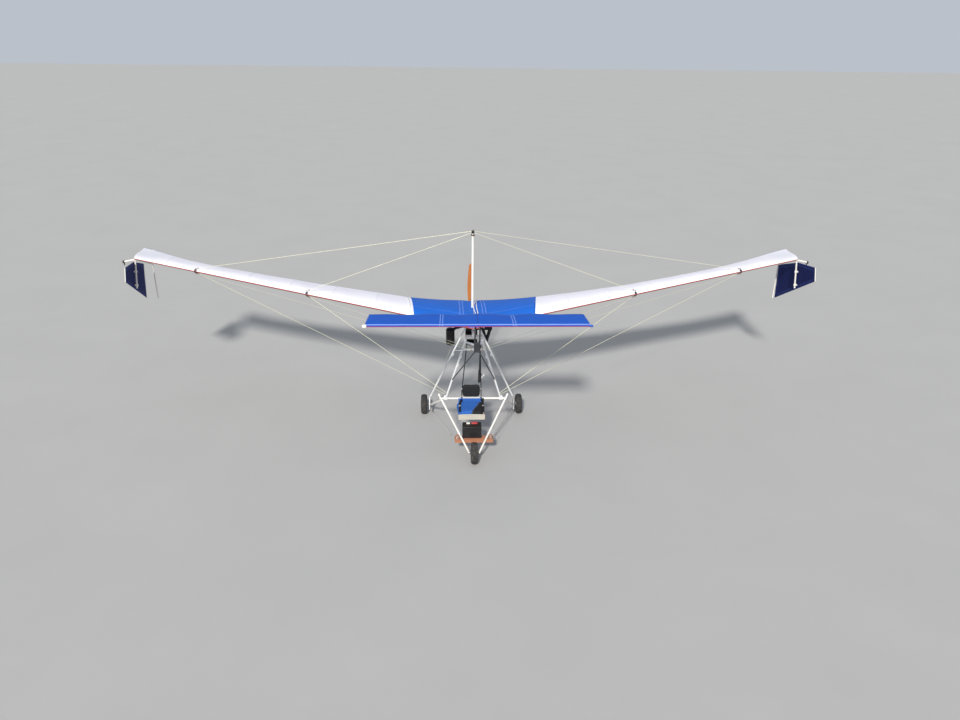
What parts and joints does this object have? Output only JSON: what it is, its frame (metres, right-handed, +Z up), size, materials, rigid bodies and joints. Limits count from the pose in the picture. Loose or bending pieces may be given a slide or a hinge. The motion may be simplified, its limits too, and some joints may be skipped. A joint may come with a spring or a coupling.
{
  "type": "canard ultralight aircraft",
  "caption": "Single-seat canard ultralight aircraft: swept wire-braced wing, tip rudders, front canard on a tube boom, hung seat, pusher propeller and tricycle wheels.",
  "frame": {"origin": "Middle of the craft's box, on the ground under the three wheels.", "axes": "+Z up, +Y aft and +X to the side on the right of somebody who looks aft from the nose; the nose points to -Y."},
  "size_m": [10.3325, 3.77, 2.86],
  "materials": {
    "blue_sailcloth": "woven sailcloth, slightly glossy",
    "white_sailcloth": "woven sailcloth, slightly glossy",
    "navy_sailcloth": "woven sailcloth",
    "alloy_tube": "drawn, satin",
    "dark_alloy": "anodised, satin",
    "white_painted_tube": "white painted",
    "stay_wire": "plastic-sheathed wire",
    "tyre_rubber": "moulded rubber",
    "white_plastic": "moulded",
    "black_metal": "black heat-proof paint",
    "black_plastic": "moulded",
    "varnished_wood": "varnished",
    "foot_bar_wood": "stained",
    "blue_seat_cloth": "woven cover",
    "black_seat_cloth": "woven cover"
  },
  "bodies": {
    "airframe": {"wing_centre": "blue_sailcloth", "wing_left": "white_sailcloth", "wing_right": "white_sailcloth", "keel_tube": "alloy_tube", "kingpost": "alloy_tube", "rear_tie": "alloy_tube", "front_downtube_left": "alloy_tube", "front_downtube_right": "alloy_tube", "rear_downtube_left": "alloy_tube", "rear_downtube_right": "alloy_tube", "boom_left": "alloy_tube", "boom_right": "alloy_tube", "gear_plate_left": "alloy_tube", "gear_plate_right": "alloy_tube", "canard_mount": "dark_alloy", "nose_axle": "dark_alloy", "boom_brace_left": "dark_alloy", "boom_brace_right": "dark_alloy", "crossbar": "white_painted_tube", "nose_leg_left": "white_painted_tube", "nose_leg_right": "white_painted_tube", "wheel_arm_left": "white_painted_tube", "wheel_arm_right": "white_painted_tube", "tip_frame_left": "white_painted_tube", "tip_frame_right": "white_painted_tube", "stay_lower_inner_left": "stay_wire", "stay_lower_inner_right": "stay_wire", "stay_lower_outer_left": "stay_wire", "stay_lower_outer_right": "stay_wire", "stay_upper_inner_left": "stay_wire", "stay_upper_inner_right": "stay_wire", "stay_upper_outer_left": "stay_wire", "stay_upper_outer_right": "stay_wire", "seat_pan": "white_plastic", "engine": "black_metal", "muffler": "black_metal", "control_stick": "black_metal", "air_box": "black_plastic", "kit_box": "black_plastic", "foot_bar": "foot_bar_wood", "seat_cushion": "blue_seat_cloth", "seat_back": "black_seat_cloth"},
    "nose_wheel": {"nose_wheel_tyre": "tyre_rubber", "nose_wheel_rim": "white_plastic"},
    "main_wheel_left": {"main_wheel_left_tyre": "tyre_rubber", "main_wheel_left_rim": "white_plastic"},
    "main_wheel_right": {"main_wheel_right_tyre": "tyre_rubber", "main_wheel_right_rim": "white_plastic"},
    "propeller": {"propeller": "varnished_wood"},
    "canard": {"canard": "blue_sailcloth", "canard_bracket": "alloy_tube"},
    "rudder_left": {"rudder_left": "navy_sailcloth"},
    "rudder_right": {"rudder_right": "navy_sailcloth"}
  },
  "joints": [
    {"name": "nose_wheel_spin", "type": "hinge", "parent": "airframe", "child": "nose_wheel", "pos_m": [0, -1.015, 0.15], "axis": [1, 0, 0], "continuous": true},
    {"name": "main_wheel_left_spin", "type": "hinge", "parent": "airframe", "child": "main_wheel_left", "pos_m": [-0.72, 0.445, 0.15], "axis": [1, 0, 0], "continuous": true},
    {"name": "main_wheel_right_spin", "type": "hinge", "parent": "airframe", "child": "main_wheel_right", "pos_m": [0.72, 0.445, 0.15], "axis": [1, 0, 0], "continuous": true},
    {"name": "propeller_spin", "type": "hinge", "parent": "airframe", "child": "propeller", "pos_m": [0, 1.385, 1.4], "axis": [0, 1, 0], "continuous": true},
    {"name": "canard_pitch", "type": "hinge", "parent": "airframe", "child": "canard", "pos_m": [0, -1.757, 2.296], "axis": [1, 0, 0], "range_deg": [-15, 15]},
    {"name": "rudder_left_swing", "type": "hinge", "parent": "airframe", "child": "rudder_left", "pos_m": [-4.99, 1.09, 1.788], "axis": [0.1006, 0, 0.9949], "range_deg": [-11, 19]},
    {"name": "rudder_right_swing", "type": "hinge", "parent": "airframe", "child": "rudder_right", "pos_m": [4.99, 1.09, 1.788], "axis": [-0.1006, 0, 0.9949], "range_deg": [-30, 0]}
  ]
}
